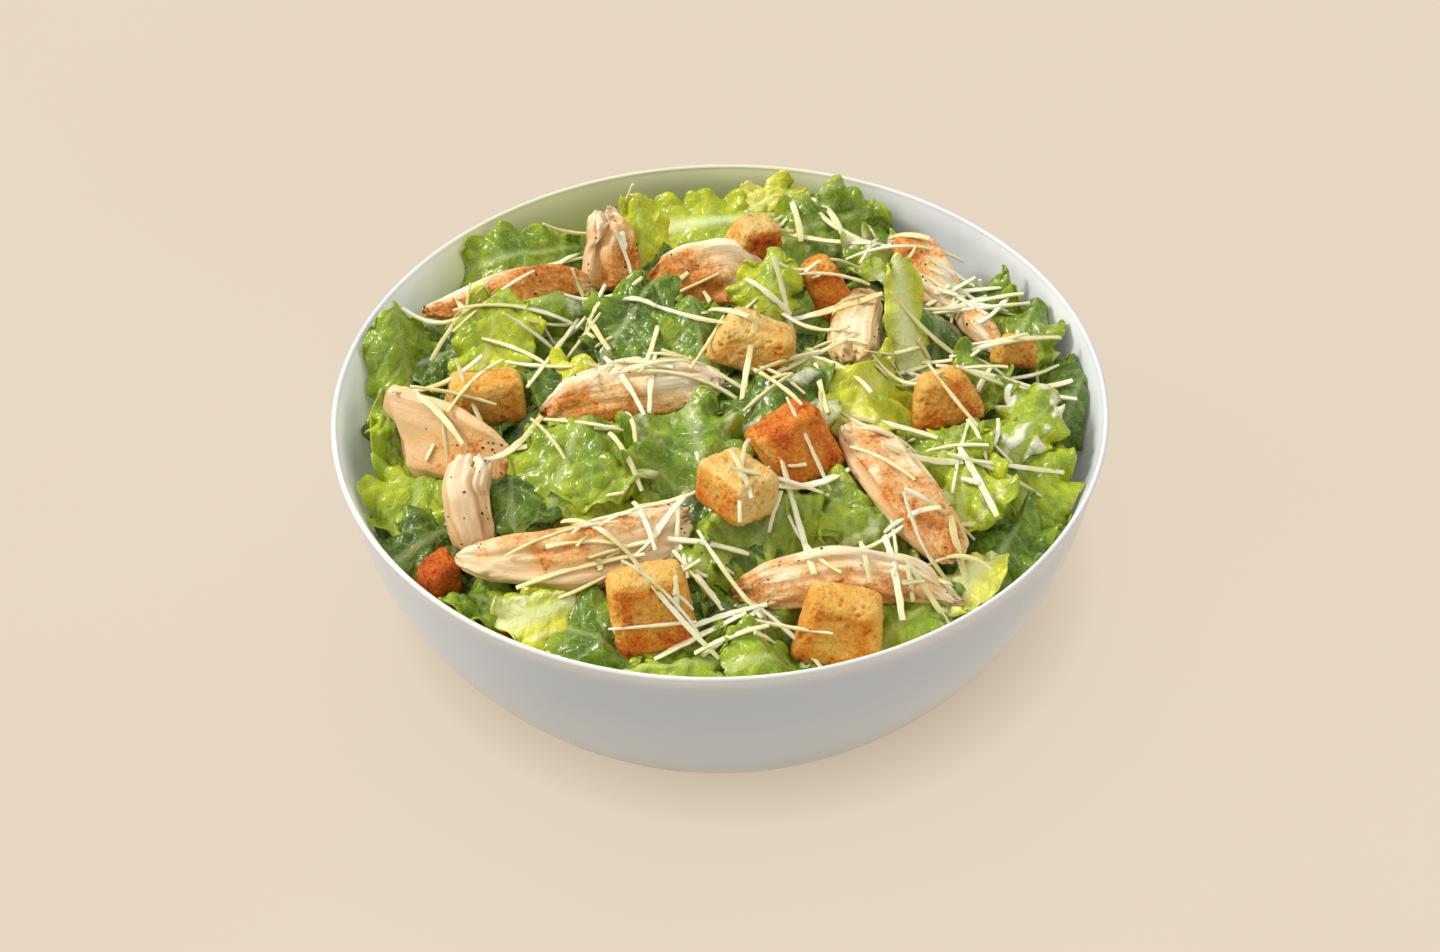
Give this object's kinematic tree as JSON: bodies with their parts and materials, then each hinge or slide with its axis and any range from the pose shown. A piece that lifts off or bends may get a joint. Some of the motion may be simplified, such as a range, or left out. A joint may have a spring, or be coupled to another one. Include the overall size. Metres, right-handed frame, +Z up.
{
  "type": "chicken caesar salad",
  "caption": "Dressed romaine salad with roast chicken strips, bread croutons and shredded hard cheese, heaped in its white ceramic bowl.",
  "frame": {"origin": "middle of the plane that the bowl's foot stands on, on the bowl's axis", "axes": "+Z up along the bowl's axis, -Y towards the eater, +X to the eater's right"},
  "size_m": [0.22, 0.22, 0.1041],
  "materials": {
    "bowl_glaze": "gloss",
    "romaine": "satin",
    "toasted_bread": "matte",
    "roast_chicken": "satin"
  },
  "bodies": {
    "root": {"bowl": "bowl_glaze", "romaine_heap": "romaine", "crouton_01": "toasted_bread", "crouton_02": "toasted_bread", "crouton_03": "toasted_bread", "crouton_04": "toasted_bread", "crouton_05": "toasted_bread", "crouton_06": "toasted_bread", "crouton_07": "toasted_bread", "crouton_08": "toasted_bread", "crouton_09": "toasted_bread", "crouton_10": "toasted_bread", "crouton_11": "toasted_bread", "crouton_12": "toasted_bread", "chicken_01": "roast_chicken", "chicken_02": "roast_chicken", "chicken_03": "roast_chicken", "chicken_04": "roast_chicken", "chicken_05": "roast_chicken", "chicken_06": "roast_chicken", "chicken_07": "roast_chicken", "chicken_08": "roast_chicken", "chicken_09": "roast_chicken", "chicken_10": "roast_chicken", "chicken_11": "roast_chicken", "chicken_12": "roast_chicken"}
  },
  "joints": []
}
